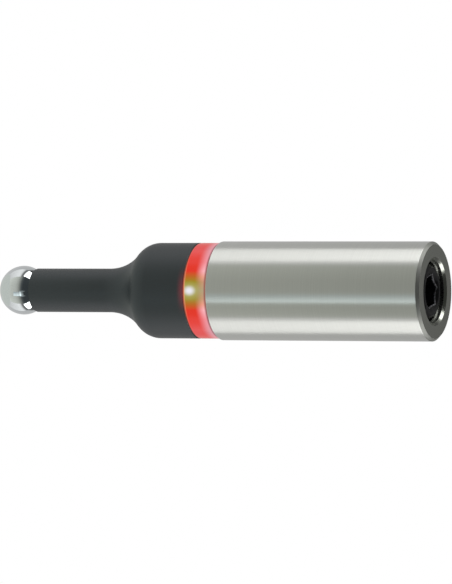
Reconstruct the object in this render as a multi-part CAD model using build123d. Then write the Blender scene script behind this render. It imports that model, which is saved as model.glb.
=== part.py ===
from build123d import *
import math
import os

# Electronic edge finder: a battery shank, a light ring, a black housing and a sprung ball.
# Millimetres. The rear end of the shank is at z = 0 and the axis runs up to the ball.

# Shank: a ground steel sleeve that a collet or tool holder clamps
shank_d = 20.0
shank_length = 45.6
shank_rear_chamfer = 0.6
shank_front_edge = 0.1
shank_front_step = 0.3
core_socket_depth = 7.5

# Battery plug: an M12 x 1 grub plug with a hexagon socket, sunk below the rear face
plug_land = 0.25
plug_recess = 0.65
plug_length = 7.8
plug_rear_bevel = 1.25
plug_inner_bevel = 0.5
plug_mouth = 0.5
plug_mouth_angle = 90.0
plug_lead_in = 0.35
plug_lead_in_depth = 1.3
plug_room = 2.5
hex_across_flats = 6.0
hex_depth = 4.5
hex_lead_d = 8.0
hex_lead_angle = 120.0
plug_stub_d = 3.0
plug_stub_length = 1.0
seal_section = 0.9
seal_from_inner_end = 1.8

# Battery: a 12 V cell of 10.3 x 28.5 mm, which fills its bore, with its liner and minus contact
battery_edge = 0.5
battery_nub_d = 4.5
battery_nub_length = 0.8
liner_wall = 0.4
cup_inset = 1.25
cup_wall = 0.6
cup_rim = 1.4
contact_room = 8.65
contact_wire = 0.6
contact_pitch = 2.4
contact_taper = 1.35

# Light ring, its two gaskets and the insulating core that joins shank and housing
ring_length = 4.55
ring_wall = 2.25
ring_edge = 0.12
gasket_thickness = 0.2
gasket_inset = 0.1
core_wall = 1.4
core_step = 0.3
core_front_length = 4.0

# Circuit board with three lamps, resistors and contacts
board_thickness = 1.0
board_contact_d = 4.0
board_contact_length = 1.4
lamp_count = 3
lamp_width = 2.6
lamp_depth = 1.4
lamp_height = 2.6
lamp_lens_d = 1.6
lamp_from_edge = 0.3
window_d = 2.2
resistor_length = 1.6
resistor_width = 0.8
resistor_height = 0.45
resistor_from_edge = 0.2
leaf_thickness = 0.25
leaf_width = 2.0
leaf_foot = 3.2
leaf_bend = 0.6

# Front housing: cylinder, ogee shoulder and neck in one turned piece
body_length = 8.6
body_edge = 0.12
shoulder_convex_r = 5.0
shoulder_concave_r = 10.0
neck_length = 16.4
neck_wall = 1.15
neck_end_chamfer = 0.15
neck_end_slope = 0.4

# Ball, its seat in the end of the neck, and the eye stud that draws it in
ball_d = 10.0
seat_latitude = 56.3
seat_rim = 0.25
seat_cone_angle = 60.0
stud_d = 2.5
stud_thread_length = 4.5
stud_flange_d = 3.4
stud_flange = 0.6
eye_d = 2.4
eye_hole_d = 1.1
eye_thickness = 1.0
eye_drop = 1.0

# Tension spring and its anchor
spring_wire = 0.6
spring_mean_d = 4.0
spring_turns = 7
spring_coil_length = 8.0
spring_loop_r = 1.5
plate_step = 1.15
plate_thickness = 2.5
plate_key_hole_d = 1.4
plate_key_hole_inset = 2.1
swivel_d = 2.4
swivel_head_d = 4.8
swivel_head = 1.2
washer_d = 5.4
washer_thickness = 0.4

# Clearances, on the radius or along the axis
thread_gap = 0.03
turning_gap = 0.04
slip_gap = 0.05
battery_gap = 0.15
seat_gap = 0.05
face_gap = 0.05

# Radii and heights that follow from the sizes above
shank_r = shank_d / 2
body_r = shank_r - shank_front_step
ball_r = ball_d / 2
socket_r = body_r - ring_wall
core_r = socket_r - slip_gap
core_bore_r = core_r - core_wall
liner_r = core_bore_r - core_step
battery_r = liner_r - liner_wall - battery_gap
battery_bore_r = liner_r + slip_gap
plug_r = battery_bore_r + plug_land
lead_in_r = plug_r + plug_lead_in
mouth_r = lead_in_r + plug_mouth
cup_r = battery_bore_r - cup_inset
plate_r = socket_r - plate_step
seat_mouth_r = (ball_r + seat_gap) * math.sin(math.radians(seat_latitude))
neck_r = seat_mouth_r + seat_rim
neck_bore_r = neck_r - neck_wall
seat_cone_depth = (seat_mouth_r - neck_bore_r) / math.tan(math.radians(seat_cone_angle / 2))

ring_z = shank_length + gasket_thickness
body_z = ring_z + ring_length + gasket_thickness
shoulder_z = body_z + body_length
shoulder_reach = shoulder_convex_r + shoulder_concave_r
shoulder_angle = math.acos(1 - (body_r - neck_r) / shoulder_reach)
neck_z = shoulder_z + shoulder_reach * math.sin(shoulder_angle)
rim_z = neck_z + neck_length
ball_z = rim_z + (ball_r + seat_gap) * math.cos(math.radians(seat_latitude))

core_rear_z = shank_length - core_socket_depth + face_gap
core_front_z = body_z + core_front_length
board_z = body_z - gasket_thickness - lamp_height - board_thickness + lamp_from_edge
board_front_z = board_z + board_thickness
board_r = core_bore_r - slip_gap
battery_top_z = board_z - board_contact_length - face_gap
liner_front_z = core_rear_z - face_gap
plug_inner_z = plug_recess + plug_length
thread_end_z = plug_inner_z + plug_room
cup_z = plug_inner_z + face_gap
battery_z = plug_inner_z + contact_room

washer_z = core_front_z + swivel_head + face_gap
plate_z = washer_z + washer_thickness
plate_front_z = plate_z + plate_thickness
swivel_head_z = washer_z - swivel_head

stud_flat_z = ball_z - math.sqrt(ball_r**2 - (stud_flange_d / 2) ** 2)
stud_eye_z = stud_flat_z - stud_flange - eye_drop
coil_top_z = stud_eye_z - 2 * spring_loop_r
coil_z = coil_top_z - spring_coil_length
anchor_eye_z = coil_z - 2 * spring_loop_r


def turned(*outline):
    """Solid of revolution about the axis from the closed outline's edges."""
    return revolve(Plane.XZ * make_face(Curve() + list(outline)), Axis.Z)


def turned_corners(*corners):
    """Solid of revolution whose outline is straight between (radius, height) corners."""
    return turned(Polyline(*corners, close=True))


def tube(outer_r, inner_r, low_z, high_z):
    return turned_corners((inner_r, low_z), (outer_r, low_z), (outer_r, high_z), (inner_r, high_z))


def wire_section(diameter):
    """Eight-sided section of a round wire, so that many turns keep few faces."""
    return RegularPolygon(diameter / 2, 8)


def arc(centre, radius, start, end):
    """Arc in the (radius, height) plane between two angles in radians."""
    middle = (start + end) / 2
    points = [
        (centre[0] + radius * math.cos(angle), centre[1] + radius * math.sin(angle))
        for angle in (start, middle, end)
    ]
    return ThreePointArc(*points)


def shank():
    thread_r = plug_r + thread_gap
    mouth_depth = plug_mouth / math.tan(math.radians(plug_mouth_angle / 2))
    socket_z = shank_length - core_socket_depth
    return turned_corners(
        (mouth_r, 0),
        (shank_r - shank_rear_chamfer, 0),
        (shank_r, shank_rear_chamfer),
        (shank_r, shank_length - shank_front_edge),
        (shank_r - shank_front_edge, shank_length),
        (socket_r, shank_length),
        (socket_r, socket_z),
        (battery_bore_r, socket_z),
        (battery_bore_r, thread_end_z),
        (thread_r, thread_end_z),
        (thread_r, plug_lead_in_depth),
        (lead_in_r, plug_lead_in_depth),
        (lead_in_r, mouth_depth),
    )


def battery_plug():
    groove_r = plug_r - seal_section - thread_gap
    groove_z = plug_inner_z - seal_from_inner_end
    groove_half = seal_section / 2 + slip_gap
    stub_r = plug_stub_d / 2
    stub_z = plug_inner_z + plug_stub_length
    plug = turned_corners(
        (0, plug_recess),
        (plug_r - plug_rear_bevel, plug_recess),
        (plug_r, plug_recess + plug_rear_bevel),
        (plug_r, groove_z - groove_half),
        (groove_r, groove_z - groove_half),
        (groove_r, groove_z + groove_half),
        (plug_r, groove_z + groove_half),
        (plug_r, plug_inner_z - plug_inner_bevel),
        (plug_r - plug_inner_bevel, plug_inner_z),
        (stub_r, plug_inner_z),
        (stub_r, stub_z),
        (0, stub_z),
    )
    across_corners = hex_across_flats / math.cos(math.radians(30))
    socket = extrude(RegularPolygon(across_corners / 2, 6), hex_depth)
    lead_depth = hex_lead_d / 2 / math.tan(math.radians(hex_lead_angle / 2))
    lead = turned_corners((0, 0), (hex_lead_d / 2, 0), (0, lead_depth))
    return plug - Pos(0, 0, plug_recess) * (socket + lead)


def plug_seal_ring():
    centre = Pos(plug_r - seal_section / 2, plug_inner_z - seal_from_inner_end)
    return revolve(Plane.XZ * (centre * wire_section(seal_section)), Axis.Z)


def contact_cup():
    hole_r = plug_stub_d / 2 + turning_gap
    edge_z = cup_z + cup_rim
    return turned_corners(
        (hole_r, cup_z),
        (cup_r, cup_z),
        (cup_r, edge_z),
        (cup_r - cup_wall, edge_z),
        (cup_r - cup_wall, cup_z + cup_wall),
        (hole_r, cup_z + cup_wall),
    )


def contact_spring():
    clear = contact_wire / 2 + slip_gap
    base_r = cup_r - cup_wall - clear
    low_z = cup_z + cup_wall + clear
    height = battery_z - clear - low_z
    turns = max(1, round(height / contact_pitch))
    taper = math.degrees(math.atan2(contact_taper, height))
    path = Helix(height / turns, height, base_r, center=(0, 0, low_z), cone_angle=-taper)
    return sweep(Plane(path @ 0, z_dir=path % 0) * wire_section(contact_wire), path, is_frenet=True)


def battery():
    shoulder = battery_top_z - battery_nub_length
    nub_r = battery_nub_d / 2
    return turned_corners(
        (0, battery_z),
        (battery_r - battery_edge, battery_z),
        (battery_r, battery_z + battery_edge),
        (battery_r, shoulder - battery_edge),
        (battery_r - battery_edge, shoulder),
        (nub_r, shoulder),
        (nub_r, battery_top_z),
        (0, battery_top_z),
    )


def battery_liner():
    return tube(liner_r, liner_r - liner_wall, thread_end_z, liner_front_z)


def lamp_angles():
    """Directions of the lamps round the axis, the first towards -Y."""
    return [-90 + 360 / lamp_count * number for number in range(lamp_count)]


def insulating_core():
    """Tube with a step for the board and a round window for each lamp."""
    core = turned_corners(
        (liner_r, core_rear_z),
        (core_r, core_rear_z),
        (core_r, core_front_z),
        (core_bore_r, core_front_z),
        (core_bore_r, board_z),
        (liner_r, board_z),
    )
    between_lamps = 180 / lamp_count
    core = Rot(0, 0, between_lamps) * core
    for angle in lamp_angles():
        drill = Rot(0, 0, angle) * Pos(core_r, 0, board_front_z + lamp_height / 2) * Rot(0, 90, 0)
        core -= drill * Cylinder(window_d / 2, 2 * core_wall)
    return core


def gasket(low_z):
    return tube(body_r - gasket_inset, socket_r, low_z, low_z + gasket_thickness)


def light_ring():
    top_z = ring_z + ring_length
    return turned_corners(
        (socket_r, ring_z),
        (body_r - ring_edge, ring_z),
        (body_r, ring_z + ring_edge),
        (body_r, top_z - ring_edge),
        (body_r - ring_edge, top_z),
        (socket_r, top_z),
    )


def led_board():
    return Pos(0, 0, board_z + board_thickness / 2) * Cylinder(board_r, board_thickness)


def leds():
    """Side-looking lamps: a moulded block with a round lens towards the window."""
    face_r = board_r - lamp_lens_d / 2 - slip_gap
    middle_z = board_front_z + lamp_height / 2
    block = Pos(face_r - lamp_depth / 2, 0, middle_z) * Box(lamp_depth, lamp_width, lamp_height)
    lens = Pos(face_r, 0, middle_z) * Sphere(lamp_lens_d / 2)
    return Part() + [Rot(0, 0, angle) * (block + lens) for angle in lamp_angles()]


def resistors():
    """Chip resistors between the lamps."""
    between_lamps = 180 / lamp_count
    middle_r = board_r - resistor_from_edge - resistor_length / 2
    middle_z = board_front_z + resistor_height / 2
    chip = Pos(middle_r, 0, middle_z) * Box(resistor_length, resistor_width, resistor_height)
    return Part() + [Rot(0, 0, angle + between_lamps) * chip for angle in lamp_angles()]


def positive_contact():
    middle_z = board_z - board_contact_length / 2
    return Pos(0, 0, middle_z) * Cylinder(board_contact_d / 2, board_contact_length)


def probe_contact():
    """Bent leaf that stands on the board and bears against the swivel's head."""
    low_z = board_front_z + leaf_thickness / 2
    high_z = swivel_head_z - face_gap - leaf_thickness / 2
    side_x = leaf_foot / 2
    corners = [(side_x, low_z), (-side_x, low_z), (-side_x, high_z), (side_x, high_z)]
    strip = trace(FilletPolyline(*corners, radius=leaf_bend), leaf_thickness)
    return extrude(Plane.XZ * strip, leaf_width / 2, both=True)


def front_housing():
    convex = arc((body_r - shoulder_convex_r, shoulder_z), shoulder_convex_r, 0, shoulder_angle)
    concave_centre = (neck_r + shoulder_concave_r, neck_z)
    concave = arc(concave_centre, shoulder_concave_r, math.pi + shoulder_angle, math.pi)
    rear = Polyline(
        (socket_r, plate_z),
        (socket_r, body_z),
        (body_r - body_edge, body_z),
        (body_r, body_z + body_edge),
        (body_r, shoulder_z),
    )
    front = Polyline(
        (neck_r, neck_z),
        (neck_r, rim_z - neck_end_slope),
        (neck_r - neck_end_chamfer, rim_z),
        (seat_mouth_r, rim_z),
        (neck_bore_r, rim_z - seat_cone_depth),
        (neck_bore_r, plate_front_z),
        (plate_r + thread_gap, plate_front_z),
        (plate_r + thread_gap, plate_z),
        (socket_r, plate_z),
    )
    return turned(rear, convex, concave, front)


def anchor_plate():
    plate = tube(plate_r, swivel_d / 2 + turning_gap, plate_z, plate_front_z)
    for side in (-1, 1):
        place = Pos(side * (plate_r - plate_key_hole_inset), 0, plate_z + plate_thickness / 2)
        plate -= place * Cylinder(plate_key_hole_d / 2, plate_thickness)
    return plate


def eye(hole_z, stem_z):
    """Flat eye at hole_z with its stem reaching to stem_z."""
    outline = Pos(0, hole_z) * Circle(eye_d / 2)
    outline += Pos(0, (hole_z + stem_z) / 2) * Rectangle(eye_d, abs(stem_z - hole_z))
    outline -= Pos(0, hole_z) * Circle(eye_hole_d / 2)
    return extrude(Plane.XZ * outline, eye_thickness / 2, both=True)


def anchor_swivel():
    rod_z = anchor_eye_z - eye_d / 2 - eye_drop
    head = turned_corners(
        (0, swivel_head_z),
        (swivel_head_d / 2, swivel_head_z),
        (swivel_head_d / 2, swivel_head_z + swivel_head - face_gap),
        (swivel_d / 2, swivel_head_z + swivel_head - face_gap),
        (swivel_d / 2, rod_z + eye_d / 2),
        (0, rod_z + eye_d / 2),
    )
    return head + eye(anchor_eye_z, rod_z)


def swivel_washer():
    return tube(washer_d / 2, swivel_d / 2 + turning_gap, washer_z, plate_z)


def hook(height, side):
    """Edges from a coil's end to its hook: half a turn to the axis, then an upright loop."""
    pitch_angle = math.atan2(spring_coil_length / spring_turns, math.pi * spring_mean_d)
    along = Vector(0, side * math.cos(pitch_angle), side * math.sin(pitch_angle))
    away = Vector(0, -math.sin(pitch_angle), math.cos(pitch_angle)) * side
    coil_r = spring_mean_d / 2
    end = Vector(coil_r, 0, height)
    axis_point = Vector(0, 0, height)
    bridge = ThreePointArc(end, (end + axis_point) * 0.5 + along * (coil_r / 2), axis_point)
    centre = axis_point + away * spring_loop_r
    points = [
        centre - (away * math.cos(turn) + along * math.sin(turn)) * spring_loop_r
        for turn in (0, math.radians(135), math.radians(270))
    ]
    return [bridge, ThreePointArc(*points)]


def tension_spring():
    pitch = spring_coil_length / spring_turns
    coil = Helix(pitch, spring_coil_length, spring_mean_d / 2, center=(0, 0, coil_z))
    path = Wire([coil] + hook(coil_top_z, 1) + hook(coil_z, -1))
    return sweep(Plane(path @ 0, z_dir=path % 0) * wire_section(spring_wire), path, clean=False)


def ball_stud():
    flange_r = stud_flange_d / 2
    flange_z = stud_flat_z - stud_flange
    top_z = stud_flat_z + stud_thread_length
    stem = turned_corners(
        (0, flange_z),
        (flange_r, flange_z),
        (flange_r, stud_flat_z),
        (stud_d / 2, stud_flat_z),
        (stud_d / 2, top_z),
        (0, top_z),
    )
    return stem + eye(stud_eye_z, flange_z)


def probe_ball():
    """Ball with a flat and a blind hole for its stud."""
    flat_angle = math.acos(stud_flange_d / 2 / ball_r)
    hole_r = stud_d / 2 + thread_gap
    hole_z = stud_flat_z + stud_thread_length + face_gap
    surface = arc((0, ball_z), ball_r, math.pi / 2, -flat_angle)
    bore = Polyline(
        (stud_flange_d / 2, stud_flat_z),
        (hole_r, stud_flat_z),
        (hole_r, hole_z),
        (0, hole_z),
        (0, ball_z + ball_r),
    )
    return turned(surface, bore)


pieces = {
    "shank": shank(),
    "battery_plug": battery_plug(),
    "plug_seal_ring": plug_seal_ring(),
    "contact_cup": contact_cup(),
    "contact_spring": contact_spring(),
    "battery": battery(),
    "battery_liner": battery_liner(),
    "insulating_core": insulating_core(),
    "rear_gasket": gasket(shank_length),
    "light_ring": light_ring(),
    "front_gasket": gasket(body_z - gasket_thickness),
    "led_board": led_board(),
    "leds": leds(),
    "resistors": resistors(),
    "positive_contact": positive_contact(),
    "probe_contact": probe_contact(),
    "front_housing": front_housing(),
    "anchor_plate": anchor_plate(),
    "anchor_swivel": anchor_swivel(),
    "swivel_washer": swivel_washer(),
    "tension_spring": tension_spring(),
    "ball_stud": ball_stud(),
    "probe_ball": probe_ball(),
}

os.makedirs("parts", exist_ok=True)
for name, piece in pieces.items():
    export_step(piece, f"parts/{name}.step")
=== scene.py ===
import math
import bpy
from mathutils import Matrix, Vector


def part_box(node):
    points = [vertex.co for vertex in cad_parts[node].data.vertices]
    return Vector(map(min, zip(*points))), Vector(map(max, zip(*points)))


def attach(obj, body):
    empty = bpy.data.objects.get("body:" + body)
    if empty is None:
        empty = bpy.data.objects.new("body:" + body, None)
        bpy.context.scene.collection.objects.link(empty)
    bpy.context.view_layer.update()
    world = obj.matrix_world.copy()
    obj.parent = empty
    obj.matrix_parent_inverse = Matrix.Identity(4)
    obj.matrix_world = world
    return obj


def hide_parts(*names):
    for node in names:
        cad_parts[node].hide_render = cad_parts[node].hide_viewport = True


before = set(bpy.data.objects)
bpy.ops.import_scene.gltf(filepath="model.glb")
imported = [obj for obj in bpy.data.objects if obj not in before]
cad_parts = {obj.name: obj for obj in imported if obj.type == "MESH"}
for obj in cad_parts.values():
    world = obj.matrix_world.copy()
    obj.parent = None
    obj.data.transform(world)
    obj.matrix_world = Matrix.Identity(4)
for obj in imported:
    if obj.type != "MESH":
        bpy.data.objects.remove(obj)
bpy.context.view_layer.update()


# Shank: the hardened steel sleeve that a collet clamps, bored through for the battery.
# It is turned, then ground round between centres, which leaves fine rings along the cylinder.
# Its rear face and mouth are only turned, its edges stoned, and its bore drilled and tapped.

MM = 0.001


def linear(hex_colour):
    """Linear RGBA of an sRGB hex colour."""
    parts = [int(hex_colour[index:index + 2], 16) / 255 for index in (0, 2, 4)]
    light = [part / 12.92 if part <= 0.04045 else ((part + 0.055) / 1.055) ** 2.4 for part in parts]
    return (*light, 1.0)


def add(tree, kind, settings=None, links=None):
    """Adds a node. Settings are input values, properties or a ramp's stops; links feed its inputs."""
    made = tree.nodes.new(kind)
    for key, value in (settings or {}).items():
        if key == "stops":
            ramp = made.color_ramp
            while len(ramp.elements) < len(value):
                ramp.elements.new(1.0)
            for element, (position, colour) in zip(ramp.elements, value):
                element.position = position
                element.color = colour
        elif isinstance(key, int) or key in made.inputs:
            made.inputs[key].default_value = value
        else:
            setattr(made, key, value)
    for key, socket in (links or {}).items():
        tree.links.new(socket, made.inputs[key])
    return made


def shader_of(material):
    return material.node_tree.nodes["Principled BSDF"]


def new_material(name, settings):
    """Material with the values that are the same all over set on its shader."""
    material = bpy.data.materials.new(name)
    material.use_nodes = True
    for key, value in settings.items():
        shader_of(material).inputs[key].default_value = value
    return material


def rings(tree, pitch, drift=9.0):
    """Tool marks about the axis. In millimetres, pitch is the distance between two of them, and
    drift is the length round the piece over which they change."""
    place = add(tree, "ShaderNodeTexCoord").outputs["Object"]
    flat = add(tree, "ShaderNodeVectorMath", {"operation": "MULTIPLY", 1: (1, 1, 0)}, {0: place})
    radius = add(tree, "ShaderNodeVectorMath", {"operation": "LENGTH"}, {0: flat.outputs[0]})
    height = add(tree, "ShaderNodeSeparateXYZ", links={0: place})
    along = add(tree, "ShaderNodeMath", {}, {0: height.outputs["Z"], 1: radius.outputs["Value"]})
    row = add(tree, "ShaderNodeMath", {"operation": "DIVIDE", 1: pitch * MM}, {0: along.outputs[0]})
    lift = add(tree, "ShaderNodeCombineXYZ", links={"Z": row.outputs[0]})
    spread = {"operation": "SCALE", "Scale": 1 / (drift * MM)}
    side = add(tree, "ShaderNodeVectorMath", spread, {0: flat.outputs[0]})
    spot = add(tree, "ShaderNodeVectorMath", {}, {0: side.outputs[0], 1: lift.outputs[0]})
    noise = add(tree, "ShaderNodeTexNoise", {"Scale": 1.0, "Detail": 3.0}, {"Vector": spot.outputs[0]})
    return noise.outputs["Fac"]


def grain(tree, size):
    """Even grains of that size in millimetres."""
    place = add(tree, "ShaderNodeTexCoord").outputs["Object"]
    noise = add(tree, "ShaderNodeTexNoise", {"Scale": 1 / (size * MM), "Detail": 3.0}, {"Vector": place})
    return noise.outputs["Fac"]


def finish(name, settings, pattern, colours, roughness, relief):
    """Material whose colour, roughness and relief in millimetres follow a pattern between two
    values. The pattern is a function that draws it and the sizes it takes."""
    material = new_material(name, settings)
    shader = shader_of(material)
    tree = material.node_tree
    draw, *sizes = pattern
    marks = draw(tree, *sizes)
    # Nearly all of a noise's values lie in this range
    low, high = 0.3, 0.7
    stops = [(low, linear(colours[0])), (high, linear(colours[1]))]
    tone = add(tree, "ShaderNodeValToRGB", {"stops": stops}, {"Fac": marks})
    span = {"From Min": low, "From Max": high, "To Min": roughness[0], "To Max": roughness[1]}
    shine = add(tree, "ShaderNodeMapRange", span, {"Value": marks})
    bump = add(tree, "ShaderNodeBump", {"Distance": relief * MM}, {"Height": marks})
    tree.links.new(tone.outputs["Color"], shader.inputs["Base Color"])
    tree.links.new(shine.outputs["Result"], shader.inputs["Roughness"])
    tree.links.new(bump.outputs["Normal"], shader.inputs["Normal"])
    return material


def soften(corners, radius, parts=4):
    """Closed outline with its corners rounded. A rounding takes up a share of a side at most, and a
    point a little way beyond each of its ends keeps the sides flat."""
    most_of_side = 0.25
    beyond = 0.6
    points = []
    for index, corner in enumerate(corners):
        here = Vector(corner)
        back = Vector(corners[index - 1]) - here
        ahead = Vector(corners[(index + 1) % len(corners)]) - here
        half = back.angle(ahead) / 2
        reach = min(radius / math.tan(half), most_of_side * back.length, most_of_side * ahead.length)
        start = here + back.normalized() * reach
        end = here + ahead.normalized() * reach
        points.append(start + back.normalized() * reach * beyond)
        for part in range(parts + 1):
            t = part / parts
            points.append(start * (1 - t) ** 2 + here * (2 * t * (1 - t)) + end * t ** 2)
        points.append(end + ahead.normalized() * reach * beyond)
    return [(point.x, point.y) for point in points]


def spin(name, loops, steps=180, closed=True):
    """Piece turned about the axis. A loop is a (radius, height) in millimetres, or a function
    that gives one for each angle. A closed piece joins its last loop to its first."""
    crease = math.radians(32)
    vertices = []
    rows = []
    for loop in loops:
        on_axis = not callable(loop) and loop[0] == 0
        row = []
        for step in range(1 if on_axis else steps):
            angle = 2 * math.pi * step / steps
            radius, height = loop(angle) if callable(loop) else loop
            row.append(len(vertices))
            out = radius * MM
            vertices.append((out * math.cos(angle), out * math.sin(angle), height * MM))
        rows.append(row)
    faces = []
    for low, high in zip(rows, rows[1:] + rows[:1] if closed else rows[1:]):
        for step in range(steps):
            places = [(low, step), (low, step + 1), (high, step + 1), (high, step)]
            corners = [row[place % steps % len(row)] for row, place in places]
            faces.append(list(dict.fromkeys(corners)))
    mesh = bpy.data.meshes.new(name)
    mesh.from_pydata(vertices, [], faces)
    mesh.shade_smooth()
    mesh.set_sharp_from_angle(angle=crease)
    piece = bpy.data.objects.new(name, mesh)
    bpy.context.scene.collection.objects.link(piece)
    return piece


def fit(piece, node, body, slot, *materials):
    """Puts a piece in a node's place, on the body that carries it, in its materials."""
    for material in materials:
        piece.data.materials.append(material)
    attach(piece, body)
    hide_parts(node)


def dress(slot, material, *nodes):
    """Gives nodes of the frame a material."""
    for node in nodes:
        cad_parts[node].material_slots[0].material = material


shank_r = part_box("shank")[1].x / MM
shank_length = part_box("shank")[1].z / MM
shank_rear_chamfer = 0.6
shank_front_edge = 0.1
shank_rounding = 0.06
socket_r = 7.45
socket_depth = 7.5
battery_bore_r = 5.75
thread_bore_r = 6.03
thread_end = 10.95
lead_in_r = 6.35
lead_in_depth = 1.3
mouth = 0.5
shank_outline = [
    (lead_in_r + mouth, 0),
    (shank_r - shank_rear_chamfer, 0),
    (shank_r, shank_rear_chamfer),
    (shank_r, shank_length - shank_front_edge),
    (shank_r - shank_front_edge, shank_length),
    (socket_r, shank_length),
    (socket_r, shank_length - socket_depth),
    (battery_bore_r, shank_length - socket_depth),
    (battery_bore_r, thread_end),
    (thread_bore_r, thread_end),
    (thread_bore_r, lead_in_depth),
    (lead_in_r, lead_in_depth),
    (lead_in_r, mouth),
]
shank = spin("shank_sleeve", soften(shank_outline, shank_rounding))

# A face that looks back more squarely than this belongs to the rear face, not to the chamfer
rear_facing = -0.9
face_slack = 0.02
ground, stoned, turned, shaded_bore = range(4)
for face in shank.data.polygons:
    radius = face.center.xy.length / MM
    if radius > shank_r - face_slack:
        face.material_index = ground
    elif radius > shank_r - shank_rear_chamfer - face_slack and face.normal.z > rear_facing:
        face.material_index = stoned
    # The bore's faces take the bored steel, darkened with painted shade
    elif radius < lead_in_r + face_slack:
        face.material_index = shaded_bore
    else:
        face.material_index = turned

# Ground steel: the wheel's rings, 0.03 mm apart but drawn at 0.16 mm to show, smear every
# reflection along the axis and leave it sharp round the cylinder, so light lies in long bands
ground_steel = finish(
    "ground_steel",
    {"Metallic": 1.0, "Anisotropic": 0.95, "Anisotropic Rotation": 0.25},
    pattern=(rings, 0.16, 40.0),
    colours=("d6d7d2", "dcddd8"),
    roughness=(0.285, 0.295),
    relief=0.0004,
)
tree = ground_steel.node_tree
round_axis = add(tree, "ShaderNodeTangent", {"direction_type": "RADIAL", "axis": "Z"})
tree.links.new(round_axis.outputs[0], shader_of(ground_steel).inputs["Tangent"])

# Stoned steel: the chamfers' edges are broken with a stone, which dulls them to a soft grey
stoned_steel = finish(
    "stoned_steel",
    {"Metallic": 1.0},
    pattern=(grain, 0.15),
    colours=("acaea8", "b6b7b2"),
    roughness=(0.5, 0.58),
    relief=0.0006,
)

# Turned steel: finer rings left by a facing cut, a plain grey that mirrors evenly
turned_steel = finish(
    "turned_steel",
    {"Metallic": 1.0},
    pattern=(rings, 0.1),
    colours=("c0c3b9", "c8cac1"),
    roughness=(0.16, 0.2),
    relief=0.0004,
)

# Bored steel: drilled and tapped and rougher, its colour darkened as painted shade for the inside of the
# bore, so a light in the bore shows as a dim arc
bored_steel_painted_shade = finish(
    "bored_steel_painted_shade",
    {"Metallic": 1.0},
    pattern=(grain, 0.3),
    colours=("7c7e78", "b0b2ac"),
    roughness=(0.22, 0.34),
    relief=0.003,
)
fit(shank, "shank", "body", "ground_steel", ground_steel, stoned_steel, turned_steel, bored_steel_painted_shade)


# Battery and its liner: a 12 V cell in a shrunk film, pushed into a thin insulating tube.
# The film is PVC over a steel can, and the tube is extruded polyester. They only lie in the bore.

# Shrunk PVC film: glossy and slate blue, in soft ripples of 3 mm where it drew tight on the can
shrunk_film = finish(
    "shrunk_pvc_film",
    {"Metallic": 0.3, "Coat Weight": 0.5},
    pattern=(rings, 3.0, 3.0),
    colours=("3a4656", "465468"),
    roughness=(0.22, 0.3),
    relief=0.004,
)
dress("battery_film", shrunk_film, "battery")

# Extruded polyester: milky and dull, a little uneven from the die
extruded_polyester = finish(
    "extruded_polyester",
    {"IOR": 1.5},
    pattern=(grain, 0.6),
    colours=("dbd9cc", "e6e4d9"),
    roughness=(0.5, 0.65),
    relief=0.01,
)
dress("liner_film", extruded_polyester, "battery_liner")


# Contact cup, contact spring and board contacts: the battery's way into the circuit.
# The cup is drawn from brass and turns on the plug's stub, and the spring is coiled from wire.
# The swivel's washer and the ball's tension spring are made of the same two metals.

# Rolled brass: warm yellow, with a soft shine that the rolls leave in fine specks
rolled_brass = finish(
    "rolled_brass",
    {"Metallic": 1.0},
    pattern=(grain, 0.25),
    colours=("d3ab5c", "e0bd73"),
    roughness=(0.24, 0.36),
    relief=0.002,
)
dress("contact_brass", rolled_brass, "contact_cup", "positive_contact", "probe_contact", "swivel_washer")

# Drawn spring wire: grey steel with a bright skin from the die, dulled in specks
spring_wire = finish(
    "drawn_spring_wire",
    {"Metallic": 1.0},
    pattern=(grain, 0.15),
    colours=("9a9b9e", "b2b3b5"),
    roughness=(0.2, 0.32),
    relief=0.002,
)
dress("spring_steel", spring_wire, "contact_spring", "tension_spring")


# Battery plug: a headless screw plug, M12 x 1, with a hexagon socket for its key, and its O-ring.
# Turned from free-cutting steel, threaded by a die and blacked hot, so it is black with a low gloss.
# It screws into the rear of the shank and carries the contact cup on its inner end.

plug_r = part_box("battery_plug")[1].x / MM
plug_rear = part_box("battery_plug")[0].z / MM
plug_length = 7.8
plug_inner = plug_rear + plug_length
plug_rear_bevel = 1.25
plug_inner_bevel = 0.5
plug_face_r = plug_r - plug_rear_bevel
face_edge_inside = 0.06
face_edge_outside = 0.04
thread_pitch = 1.0
thread_depth = 0.55
flank_slope = 3
crest_width = 0.9
hex_flat_r = 3.0
hex_depth = 4.5
hex_lead_r = 4.0
hex_lead_slope = math.tan(math.radians(30))
hex_lead_margin = 0.01
hex_turn = math.radians(15)
rubbed_width = 0.2
groove_r = 5.07
groove_inset = 1.8
groove_half = 0.5
groove_low = plug_inner - groove_inset - groove_half
groove_high = plug_inner - groove_inset + groove_half
stub_r = 1.5
stub_length = 1.0


def hexagon(angle):
    """Radius of the socket's wall, as it stands turned when the plug is tight."""
    sixth = math.pi / 3
    return hex_flat_r / math.cos((angle - hex_turn) % sixth - sixth / 2)


def socket_floor(angle):
    return hexagon(angle), plug_rear + hex_depth


def lead_cone(outward):
    """Loop on the cone that leads the key in, so far outside the hexagon."""
    def loop(angle):
        radius = min(hexagon(angle) + outward, hex_lead_r - hex_lead_margin)
        return radius, plug_rear + (hex_lead_r - radius) * hex_lead_slope
    return loop


socket_edge = lead_cone(0)


def rubbed_inside(angle):
    radius, height = socket_edge(angle)
    return radius, height + rubbed_width


def thread_at(height):
    """Loop of the thread at one height: flat crests and roots, cut down to the rear bevel."""
    def loop(angle):
        turn = (height / thread_pitch - angle / (2 * math.pi)) % 1
        depth = min(1, max(0, flank_slope * abs(2 * turn - 1) - crest_width))
        bevel = plug_face_r + height - plug_rear
        return min(bevel, plug_r - thread_depth * depth), height
    return loop


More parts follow.
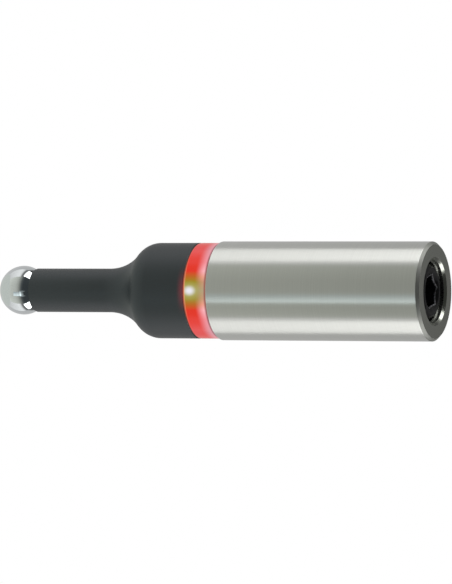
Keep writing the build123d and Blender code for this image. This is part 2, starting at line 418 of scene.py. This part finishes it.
thread_start = plug_rear + plug_rear_bevel - thread_depth
thread_rows = 68
thread_step = (groove_low - thread_start) / thread_rows
plug_steps = 144
plug_loops = [
    (0, plug_rear + hex_depth),
    socket_floor,
    rubbed_inside,
    socket_edge,
    lead_cone(rubbed_width),
    (hex_lead_r, plug_rear),
    (plug_face_r - face_edge_inside, plug_rear),
    (plug_face_r + face_edge_outside, plug_rear + face_edge_outside),
    *(thread_at(thread_start + thread_step * number) for number in range(thread_rows + 1)),
    (groove_r, groove_low),
    (groove_r, groove_high),
    (plug_r, groove_high),
    (plug_r, plug_inner - plug_inner_bevel),
    (plug_r - plug_inner_bevel, plug_inner),
    (stub_r, plug_inner),
    (stub_r, plug_inner + stub_length),
    (0, plug_inner + stub_length),
]
plug = spin("screw_plug", plug_loops, steps=plug_steps, closed=False)

# The faces come row by row, and a row has the number of the loop that it starts from
rubbed_rows = (plug_loops.index(rubbed_inside), plug_loops.index(socket_edge))
for face in plug.data.polygons:
    face.material_index = 1 if face.index // plug_steps in rubbed_rows else 0

# Hot-blacked steel: a thin magnetite skin over turning marks, a soft black that shines at a slant
blacked_steel = finish(
    "hot_blacked_steel",
    {"IOR": 1.6, "Specular IOR Level": 0.2},
    pattern=(grain, 0.25),
    colours=("040405", "0b0b0c"),
    roughness=(0.16, 0.26),
    relief=0.003,
)

# Rubbed steel: along the socket's edges the key has worn the blacking through in specks
rubbed_steel = finish(
    "rubbed_steel",
    {"Metallic": 1.0},
    pattern=(grain, 0.35),
    colours=("303032", "d0d0d4"),
    roughness=(0.3, 0.45),
    relief=0.006,
)
fit(plug, "battery_plug", "plug", "black_oxide_steel", blacked_steel, rubbed_steel)

# Moulded nitrile rubber: dull and nearly black
moulded_nitrile = finish(
    "moulded_nitrile",
    {"IOR": 1.5},
    pattern=(grain, 0.2),
    colours=("161616", "242424"),
    roughness=(0.55, 0.7),
    relief=0.006,
)
dress("nitrile_rubber", moulded_nitrile, "plug_seal_ring")


# Core and circuit board: a plastic tube that joins shank and housing, with the lamps' board in it.
# The core is turned from acetal. The board is green laminate with printed tracks, three lamps that
# look sideways through the core's windows, and three chip resistors soldered between them.

# Turned acetal: waxy white, with the tool's rings 0.2 mm apart in a dull shine
turned_acetal = finish(
    "turned_acetal",
    {"IOR": 1.48, "Subsurface Weight": 0.1},
    pattern=(rings, 0.2),
    colours=("e4e2db", "f0eee8"),
    roughness=(0.35, 0.5),
    relief=0.003,
)
dress("core_plastic", turned_acetal, "insulating_core")


def tracks(tree, pitch):
    """Printed tracks side by side, so many millimetres apart. A wave's length is pi / 10 / scale."""
    place = add(tree, "ShaderNodeTexCoord").outputs["Object"]
    scale = math.pi / 10 / (pitch * MM)
    wave = add(tree, "ShaderNodeTexWave", {"Scale": scale, "Distortion": 2.0}, {"Vector": place})
    return wave.outputs["Fac"]


# Lacquered laminate: green lacquer, raised and paler over the tracks, with a low gloss
lacquered_laminate = finish(
    "lacquered_laminate",
    {"Coat Weight": 0.3},
    pattern=(tracks, 1.27),
    colours=("1d4a30", "2b6a44"),
    roughness=(0.3, 0.42),
    relief=0.03,
)
dress("board_laminate", lacquered_laminate, "led_board")

# Moulded epoxy, lit: smooth pale resin that glows red all over, so its chip can't be made out
moulded_epoxy = finish(
    "moulded_epoxy",
    {"Emission Color": linear("ff7a60"), "Emission Strength": 1.0},
    pattern=(grain, 0.4),
    colours=("f0b0a0", "f8c8bc"),
    roughness=(0.12, 0.2),
    relief=0.004,
)
dress("lamp_resin", moulded_epoxy, "leds")

# Fired ceramic: charcoal, dull and fine-grained
fired_ceramic = finish(
    "fired_ceramic",
    {"IOR": 1.6},
    pattern=(grain, 0.1),
    colours=("1c1c20", "2c2c30"),
    roughness=(0.4, 0.55),
    relief=0.004,
)
dress("chip_ceramic", fired_ceramic, "resistors")


# Light ring and its gaskets: a band of milky acrylic between shank and housing, lit from inside.
# Moulded, then faced and polished, and held between two flat gaskets. Each lamp shows as a white
# spot with an olive halo, and its light turns orange, red and then pink as it spreads.

lamp_count = 3
lamp_reach = math.pi / lamp_count
ring_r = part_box("light_ring")[1].x / MM
ring_low, ring_high = (corner.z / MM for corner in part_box("light_ring"))
ring_edge = 0.12
ring_rounding = 0.05
ring_outline = [
    (socket_r, ring_low),
    (ring_r - ring_edge, ring_low),
    (ring_r, ring_low + ring_edge),
    (ring_r, ring_high - ring_edge),
    (ring_r - ring_edge, ring_high),
    (socket_r, ring_high),
]
ring = spin("light_band", soften(ring_outline, ring_rounding))


def turn_from_lamp(tree):
    """Angle round the axis to the nearest lamp, in radians, and height; one lamp looks to -Y."""
    place = add(tree, "ShaderNodeTexCoord").outputs["Object"]
    axes = add(tree, "ShaderNodeSeparateXYZ", links={0: place}).outputs
    front = add(tree, "ShaderNodeMath", {"operation": "MULTIPLY", 1: -1.0}, {0: axes["Y"]})
    turn = add(tree, "ShaderNodeMath", {"operation": "ARCTAN2"}, {0: axes["X"], 1: front.outputs[0]})
    fold = {"operation": "PINGPONG", 1: lamp_reach}
    near = add(tree, "ShaderNodeMath", fold, {0: turn.outputs[0]})
    return near.outputs[0], axes["Z"]


# Polished acrylic, lit: the light inside sets its colour, so the band looks the same under any
# lamp, and its clear skin mirrors a little of the room
polished_acrylic = new_material(
    "polished_acrylic",
    {
        "Emission Strength": 1.0,
        "Roughness": 0.4,
        "Specular IOR Level": 0.0,
        "Coat Weight": 1.0,
        "Coat Roughness": 0.2,
    },
)
tree = polished_acrylic.node_tree
turn, height = turn_from_lamp(tree)
smooth = {"interpolation_type": "SMOOTHSTEP"}

# Round the ring the colours run from a lamp to halfway between two, and along it from the
# paler side at the shank to the deeper side at the housing
blend_length = 2.4
shank_stops = [
    (0, "b09c78"),
    (0.17, "c49070"),
    (0.28, "ec9e8a"),
    (0.4, "f8b6be"),
    (0.6, "ec8c96"),
    (1, "d494a0"),
]
housing_stops = [
    (0, "968a50"),
    (0.17, "948200"),
    (0.28, "b45e00"),
    (0.4, "da2200"),
    (0.7, "dc2008"),
    (1, "dc3c3c"),
]
share = add(tree, "ShaderNodeMath", {"operation": "DIVIDE", 1: lamp_reach}, {0: turn})
sides = []
for side_stops in (shank_stops, housing_stops):
    stops = [(position, linear(colour)) for position, colour in side_stops]
    sides.append(add(tree, "ShaderNodeValToRGB", {"stops": stops}, {"Fac": share.outputs[0]}))
blend_span = {"From Min": ring_low * MM, "From Max": (ring_low + blend_length) * MM}
lengthwise = add(tree, "ShaderNodeMapRange", {**smooth, **blend_span}, {"Value": height})
glow = add(
    tree,
    "ShaderNodeMix",
    {"data_type": "RGBA"},
    {"Factor": lengthwise.outputs["Result"], 6: sides[0].outputs["Color"], 7: sides[1].outputs["Color"]},
)

# A lamp's halo and white spot are ovals, and lie a little nearer to the shank than the lamp
spot_shift = 0.2
spot_squeeze = 1.3
halo_span = {"From Min": 0.8 * MM, "From Max": 3.0 * MM, "To Min": 0.6, "To Max": 0.0}
spot_span = {"From Min": 0.2 * MM, "From Max": 1.7 * MM, "To Min": 1.0, "To Max": 0.0}
spot_height = sum(corner.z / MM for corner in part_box("leds")) / 2 - spot_shift
across = add(tree, "ShaderNodeMath", {"operation": "MULTIPLY", 1: ring_r * MM * spot_squeeze}, {0: turn})
above = add(tree, "ShaderNodeMath", {"operation": "SUBTRACT", 1: spot_height * MM}, {0: height})
offset = add(tree, "ShaderNodeCombineXYZ", links={"X": across.outputs[0], "Y": above.outputs[0]})
distance = add(tree, "ShaderNodeVectorMath", {"operation": "LENGTH"}, {0: offset.outputs[0]})
layers = []
for colour, span in (("b4b264", halo_span), ("e2e1e8", spot_span)):
    spot = add(tree, "ShaderNodeMapRange", {**smooth, **span}, {"Value": distance.outputs["Value"]})
    layers.append((colour, spot))

# Its edge at the housing glows orange, mostly near a lamp, and at the shank a painted shade line darkens
# it, for the shade in the gap between ring and shank
edge_start = 0.3
edge_full = 0.1
shade_line_width = 0.4
beside_lamp = math.radians(50)
edge_glow = {"From Max": beside_lamp, "To Min": 0.6, "To Max": 0.15}
edge_span = {"From Min": (ring_high - edge_start) * MM, "From Max": (ring_high - edge_full) * MM}
shade_line_span = {
    "From Min": ring_low * MM,
    "From Max": (ring_low + shade_line_width) * MM,
    "To Min": 0.9,
    "To Max": 0.0,
}
lamp_side = add(tree, "ShaderNodeMapRange", {**smooth, **edge_glow}, {"Value": turn})
edge_feed = {"Value": height, "To Max": lamp_side.outputs["Result"]}
edge = add(tree, "ShaderNodeMapRange", edge_span, edge_feed)
# Painted shade: a dark mauve band along the ring's edge at the shank, where the gap falls in shade
painted_shade_line = add(tree, "ShaderNodeMapRange", shade_line_span, {"Value": height})
layers += [("ffa880", edge), ("84464c", painted_shade_line)]
lit = glow
for colour, amount in layers:
    lit = add(
        tree,
        "ShaderNodeMix",
        {"data_type": "RGBA", 7: linear(colour)},
        {"Factor": amount.outputs["Result"], 6: lit.outputs[2]},
    )

# Its base colour is its lit colour at a tenth of the brightness, so the lamps' spots and glow are
# painted into it as well
painted_glow_share = (0.1, 0.1, 0.1, 1)
painted_glow_base = add(
    tree,
    "ShaderNodeMix",
    {"data_type": "RGBA", "blend_type": "MULTIPLY", "Factor": 1.0, 7: painted_glow_share},
    {6: lit.outputs[2]},
)
tree.links.new(painted_glow_base.outputs[2], shader_of(polished_acrylic).inputs["Base Color"])
tree.links.new(lit.outputs[2], shader_of(polished_acrylic).inputs["Emission Color"])
fit(ring, "light_ring", "body", "lit_acrylic", polished_acrylic)

# Cut nitrile rubber: the gaskets' thin edges are a dark red, and next to a lamp an orange glow is
# painted on them, for the ring's light
cut_nitrile = finish(
    "cut_nitrile",
    {"Emission Color": linear("e87850")},
    pattern=(grain, 0.2),
    colours=("281418", "381c20"),
    roughness=(0.55, 0.7),
    relief=0.004,
)
tree = cut_nitrile.node_tree
turn = turn_from_lamp(tree)[0]
# Painted light: the rubber gaskets glow orange near a lamp, though they are no lamp
painted_gasket_glow = {"From Max": beside_lamp, "To Min": 0.6, "To Max": 0.02}
lamp_side = add(tree, "ShaderNodeMapRange", {**smooth, **painted_gasket_glow}, {"Value": turn})
tree.links.new(lamp_side.outputs["Result"], shader_of(cut_nitrile).inputs["Emission Strength"])
dress("nitrile_rubber", cut_nitrile, "rear_gasket", "front_gasket")


# Front housing: one turned steel piece, from the cylinder over an ogee shoulder to the slim neck.
# Bead-blasted and black plated, a satin black that greys where light grazes it.
# It is pressed over the core, and its open end is the seat of the ball.

body_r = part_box("front_housing")[1].x / MM
body_low, rim = (corner.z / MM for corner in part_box("front_housing"))
body_length = 8.6
body_edge = 0.12
plate_low, plate_high = (corner.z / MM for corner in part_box("anchor_plate"))
plate_gap = 0.03
plate_bore_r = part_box("anchor_plate")[1].x / MM + plate_gap
ball_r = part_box("probe_ball")[1].x / MM
shoulder_convex_r = 5.0
shoulder_concave_r = 10.0
neck_wall = 1.15
neck_end_chamfer = 0.15
neck_end_slope = 0.4
seat_rim = 0.25
seat_gap = 0.05
seat_latitude = math.radians(56.3)
seat_mouth_r = (ball_r + seat_gap) * math.sin(seat_latitude)
seat_cone_slope = math.tan(math.radians(30))
neck_r = seat_mouth_r + seat_rim
neck_bore_r = neck_r - neck_wall
shoulder_low = body_low + body_length
shoulder_reach = shoulder_convex_r + shoulder_concave_r
shoulder_angle = math.acos(1 - (body_r - neck_r) / shoulder_reach)
neck_low = shoulder_low + shoulder_reach * math.sin(shoulder_angle)


def arc(centre, radius, start, end, parts):
    """Points along an arc of the outline, between two angles in radians."""
    points = []
    for part in range(parts + 1):
        angle = start + (end - start) * part / parts
        points.append((centre[0] + radius * math.cos(angle), centre[1] + radius * math.sin(angle)))
    return points


convex_centre = (body_r - shoulder_convex_r, shoulder_low)
convex = arc(convex_centre, shoulder_convex_r, 0, shoulder_angle, parts=24)
concave_centre = (neck_r + shoulder_concave_r, neck_low)
concave = arc(concave_centre, shoulder_concave_r, math.pi + shoulder_angle, math.pi, parts=32)
housing_outline = [
    (socket_r, plate_low),
    (socket_r, body_low),
    (body_r - body_edge, body_low),
    (body_r, body_low + body_edge),
    (body_r, body_low + 2 * body_edge),
    *convex,
    *concave[1:],
    (neck_r, rim - neck_end_slope),
    (neck_r - neck_end_chamfer, rim),
    (seat_mouth_r, rim),
    (neck_bore_r, rim - (seat_mouth_r - neck_bore_r) / seat_cone_slope),
    (neck_bore_r, plate_high),
    (plate_bore_r, plate_high),
    (plate_bore_r, plate_low),
]
housing = spin("ogee_housing", housing_outline)

# Satin black plating: bead-blasted grains of 0.08 mm, drawn at 0.2 mm to show, which spread every
# reflection into a soft sheen; next to a lamp a faint red glow is painted on its edge, for the ring's
# light falling there
satin_black = finish(
    "satin_black_plating",
    {"IOR": 1.6, "Emission Color": linear("f03050")},
    pattern=(grain, 0.2),
    colours=("091a1f", "0f2126"),
    roughness=(0.4, 0.48),
    relief=0.0015,
)
tree = satin_black.node_tree
turn, height = turn_from_lamp(tree)
painted_glow_reach = math.radians(34)
painted_glow_length = 1.6
painted_glow_round = {"From Max": painted_glow_reach, "To Min": 1.0, "To Max": 0.0}
painted_glow_along = {
    "From Min": body_low * MM,
    "From Max": (body_low + painted_glow_length) * MM,
    "To Min": 0.14,
    "To Max": 0.0,
}
near_lamp = add(tree, "ShaderNodeMapRange", {**smooth, **painted_glow_round}, {"Value": turn})
near_ring = add(tree, "ShaderNodeMapRange", {**smooth, **painted_glow_along}, {"Value": height})
near_both = {0: near_lamp.outputs["Result"], 1: near_ring.outputs["Result"]}
# Painted light: a red glow on the housing's edge next to the lamp that faces -Y, though the housing is
# no lamp
painted_red_glow = add(tree, "ShaderNodeMath", {"operation": "MULTIPLY"}, near_both)
tree.links.new(painted_red_glow.outputs[0], shader_of(satin_black).inputs["Emission Strength"])
fit(housing, "front_housing", "body", "satin_black_steel", satin_black)


# Spring anchor and ball stud: the screwed-in plate, the swivel that turns in it and the eye stud.
# All turned from stainless steel. The tension spring hooks into the eyes of swivel and stud.

# Turned stainless steel: bright grey, with fine rings 0.12 mm apart that glint in thin lines
turned_stainless = finish(
    "turned_stainless",
    {"Metallic": 1.0},
    pattern=(rings, 0.12),
    colours=("b6b7b5", "cbccca"),
    roughness=(0.2, 0.3),
    relief=0.001,
)
dress("stainless_steel", turned_stainless, "anchor_plate", "anchor_swivel", "ball_stud")


# Probe ball: a hardened bearing ball of 10 mm, lapped and polished to a mirror.
# It is drilled and flattened underneath, where the eye stud is screwed in.

ball_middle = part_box("probe_ball")[1].z / MM - ball_r
stud_flat_r = 1.7
stud_hole_r = 1.28
stud_hole_depth = 4.55
stud_flat = ball_middle - math.sqrt(ball_r ** 2 - stud_flat_r ** 2)
stud_hole_end = stud_flat + stud_hole_depth
flat_angle = math.acos(stud_flat_r / ball_r)
sphere = arc((0, ball_middle), ball_r, -flat_angle, math.pi / 2, parts=72)
ball_loops = [
    (0, stud_hole_end),
    (stud_hole_r, stud_hole_end),
    (stud_hole_r, stud_flat),
    *sphere[:-1],
    (0, ball_middle + ball_r),
]
ball = spin("steel_ball", ball_loops, steps=144, closed=False)

# Lapped bearing steel: a mirror under a haze of fine scratches, drawn as grains of 0.3 mm to show
lapped_steel = finish(
    "lapped_bearing_steel",
    {"Metallic": 1.0},
    pattern=(grain, 0.3),
    colours=("dadedf", "e0e4e5"),
    roughness=(0.04, 0.08),
    relief=0.00002,
)
fit(ball, "probe_ball", "ball", "polished_steel", lapped_steel)


# Studio: a white world lights dull surfaces evenly, and only the camera sees the pale floor, from
# above. For the metal to mirror, a drum of grey walls, soft boxes and a strip of light stands round
# the tool, pale above and dark below. The camera, dull surfaces and shadows don't meet it.

scene = bpy.context.scene
scene.view_settings.view_transform = "Standard"
world = bpy.data.worlds.new("white_surround")
world.use_nodes = True
world.node_tree.nodes["Background"].inputs["Color"].default_value = (1, 1, 1, 1)
scene.world = world
world.cycles_visibility.glossy = False
drum_r = 0.45
drum_low = -0.5
drum_high = 0.6
dusk = 0.2


def stage_piece(name, vertices, faces, material):
    """Piece of the studio, with its sizes in metres."""
    mesh = bpy.data.meshes.new(name)
    mesh.from_pydata(vertices, [], faces)
    mesh.materials.append(material)
    piece = bpy.data.objects.new(name, mesh)
    scene.collection.objects.link(piece)
    return piece


def level_square(name, half, height, material):
    signs = ((-1, -1), (1, -1), (1, 1), (-1, 1))
    corners = [(half * x_sign, half * y_sign, height) for x_sign, y_sign in signs]
    return stage_piece(name, corners, [(0, 1, 2, 3)], material)


def only_mirrored(card):
    card.visible_camera = False
    card.visible_diffuse = False
    card.visible_shadow = False


def lit_card(name, fade, tint="ffffff", shade="ffffff"):
    """Material of a glowing card: its brightness at some heights in metres, and the tints of its
    bright parts and of those darker than dusk."""
    material = new_material(name, {})
    tree = material.node_tree
    bottom, top = fade[0][0], fade[-1][0]
    most = max(level for height, level in fade)
    bright, dark = Vector(linear(tint)), Vector(linear(shade))
    stops = []
    for height, level in fade:
        colour = dark.lerp(bright, min(1, level / dusk)) * (level / most)
        stops.append(((height - bottom) / (top - bottom), colour))
    place = add(tree, "ShaderNodeTexCoord").outputs["Object"]
    height = add(tree, "ShaderNodeSeparateXYZ", links={0: place}).outputs["Z"]
    rise = add(tree, "ShaderNodeMapRange", {"From Min": bottom, "From Max": top}, {"Value": height})
    level = add(tree, "ShaderNodeValToRGB", {"stops": stops}, {"Fac": rise.outputs["Result"]})
    glow = add(tree, "ShaderNodeEmission", {"Strength": most}, {"Color": level.outputs["Color"]})
    tree.links.new(glow.outputs[0], tree.nodes["Material Output"].inputs["Surface"])
    return material


def drum_card(name, turn_from, turn_to, fade, tint="ffffff", shade="ffffff", inset=0.0):
    """Card on the drum between two turns in degrees, counted from the camera's side towards +X."""
    step_turn = 6
    steps = max(2, round(abs(turn_to - turn_from) / step_turn))
    radius = drum_r - inset
    vertices = []
    for step in range(steps + 1):
        turn = math.radians(turn_from + (turn_to - turn_from) * step / steps)
        x, y = radius * math.sin(turn), -radius * math.cos(turn)
        vertices += [(x, y, fade[0][0]), (x, y, fade[-1][0])]
    faces = [(2 * step, 2 * step + 1, 2 * step + 3, 2 * step + 2) for step in range(steps)]
    only_mirrored(stage_piece(name, vertices, faces, lit_card(name, fade, tint, shade)))


# Walls: an even grey all round, and inside it a front and a rear wall, pale above and dark below
warm_white, cool_grey = "fcfff6", "dcf0ff"
front_fade = [
    (drum_low, 0.05),
    (-0.04, 0.055),
    (0.03, 0.1),
    (0.09, 0.26),
    (0.15, 0.42),
    (0.22, 0.53),
    (0.3, 0.58),
    (drum_high, 0.66),
]
rear_fade = [
    (drum_low, 0.29),
    (-0.2, 0.235),
    (-0.13, 0.1),
    (0.03, 0.09),
    (0.1, 0.56),
    (drum_high, 0.62),
]
drum_card("back_drum", 0, 360, [(drum_low, 0.15), (drum_high, 0.15)], inset=-0.02)
for turn_from, turn_to, gain in ((-30, 30, 1), (30, 42, 1.05), (42, 54, 1.1), (54, 70, 1.16)):
    fade = [(height, level * gain) for height, level in front_fade]
    drum_card("front_wall", turn_from, turn_to, fade, warm_white, cool_grey)
    if turn_from > 0:
        drum_card("front_wall", -turn_from, -turn_to, fade, warm_white, cool_grey)
drum_card("rear_wall", 113, 247, rear_fade)

# Sides: on each a bright wall and two soft boxes, the windows in the ball and the shank's bands
side_fade = [
    (0.05, 0.2),
    (0.1, 0.2),
    (0.115, 0.5),
    (0.15, 0.9),
    (0.2, 1.0),
    (0.24, 0.95),
    (0.3, 0.9),
    (0.47, 0.8),
    (drum_high, 0.68),
]
upper_fade = [(-0.205, 0.7), (-0.17, 3.4), (0.02, 3.4), (0.05, 0.7)]
lower_fade = [(-0.48, 2.2), (-0.2, 2.2)]
for side in (-1, 1):
    drum_card("side_wall", side * 65, side * 114, side_fade, inset=0.01)
    drum_card("upper_soft_box", side * 70, side * 110, upper_fade, inset=0.01)
    drum_card("lower_soft_box", side * 84, side * 124, lower_fade, inset=0.01)

# Strip: a narrow cool light beside the camera, with a glow at both of its edges
strip_white = "ecf8fa"
strip_fades = [
    [(-0.06, 0.2), (0.02, 0.6), (0.05, 1.7), (0.09, 1.7)],
    [(0.11, 1.15), (0.16, 1.05), (0.2, 1.0), (0.33, 1.0)],
]
glow_fade = [(-0.13, 0.1), (-0.04, 0.28), (0.06, 0.36), (0.1, 0.36)]
for turn_from, turn_to, gain in ((-8, -14, 0.55), (-14, -20, 0.78), (-20, -27, 1.05)):
    for strip_fade in strip_fades:
        fade = [(height, level * gain) for height, level in strip_fade]
        drum_card("strip_box", turn_from, turn_to, fade, strip_white, strip_white, inset=0.02)
for turn_from, turn_to in ((-3, -9), (-26, -32)):
    drum_card("strip_glow", turn_from, turn_to, glow_fade, strip_white, strip_white, inset=0.015)

# Lids: the drum's ceiling and its dark table, each of one brightness
lid_white = "fafff8"
lid_depth = 0.1
for name, height, level in (("ceiling", drum_high, 0.66), ("table", drum_low, 0.045)):
    lid_fade = [(height - lid_depth, level), (height + lid_depth, level)]
    only_mirrored(level_square(name, drum_r, height, lit_card(name, lid_fade, lid_white, lid_white)))

# Matt paper: a pale floor without any shine, white from above and clear from below
floor_half = 3.0
floor_drop = 0.05
matt_paper = finish(
    "matt_paper",
    {"Specular IOR Level": 0.0},
    pattern=(grain, 2.0),
    colours=("f8f8f7", "fbfbfa"),
    roughness=(0.85, 0.95),
    relief=0.01,
)
tree = matt_paper.node_tree
from_below = add(tree, "ShaderNodeNewGeometry").outputs["Backfacing"]
clear = add(tree, "ShaderNodeBsdfTransparent").outputs[0]
halves = {0: from_below, 1: shader_of(matt_paper).outputs[0], 2: clear}
one_sided = add(tree, "ShaderNodeMixShader", links=halves)
tree.links.new(one_sided.outputs[0], tree.nodes["Material Output"].inputs["Surface"])
floor = level_square("floor", floor_half, -floor_drop * MM, matt_paper)
floor.visible_glossy = False
floor.visible_diffuse = False
floor.visible_shadow = False
floor.visible_transmission = False


# Camera: below the rear end and well back, so that the tool lies level with its ball to the left.
# Its lens gives the photograph's scale at the tool's middle, and it is rolled a little.

picture_width, picture_height = 452, 584
pixels_per_mm = 4.941
sensor_width = 36.0
view_below = math.radians(22.1)
view_roll = math.radians(0.19)
view_distance = 1.2
aim = Vector((-0.24, 0, 45.07)) * MM
level = Vector((0, math.sin(view_below), -math.cos(view_below)))
right = level * math.cos(view_roll) + Vector((math.sin(view_roll), 0, 0))
up = Vector((math.cos(view_roll), 0, 0)) - level * math.sin(view_roll)
back = right.cross(up)
stance = Matrix((right, up, back)).transposed().to_4x4()
pixels_at_aim = pixels_per_mm * view_distance / MM
camera = bpy.data.objects.new("camera", bpy.data.cameras.new("camera"))
camera.data.sensor_width = sensor_width
camera.data.lens = sensor_width * pixels_at_aim / max(picture_width, picture_height)
camera.matrix_world = Matrix.Translation(aim + back * view_distance) @ stance
scene.collection.objects.link(camera)
scene.camera = camera
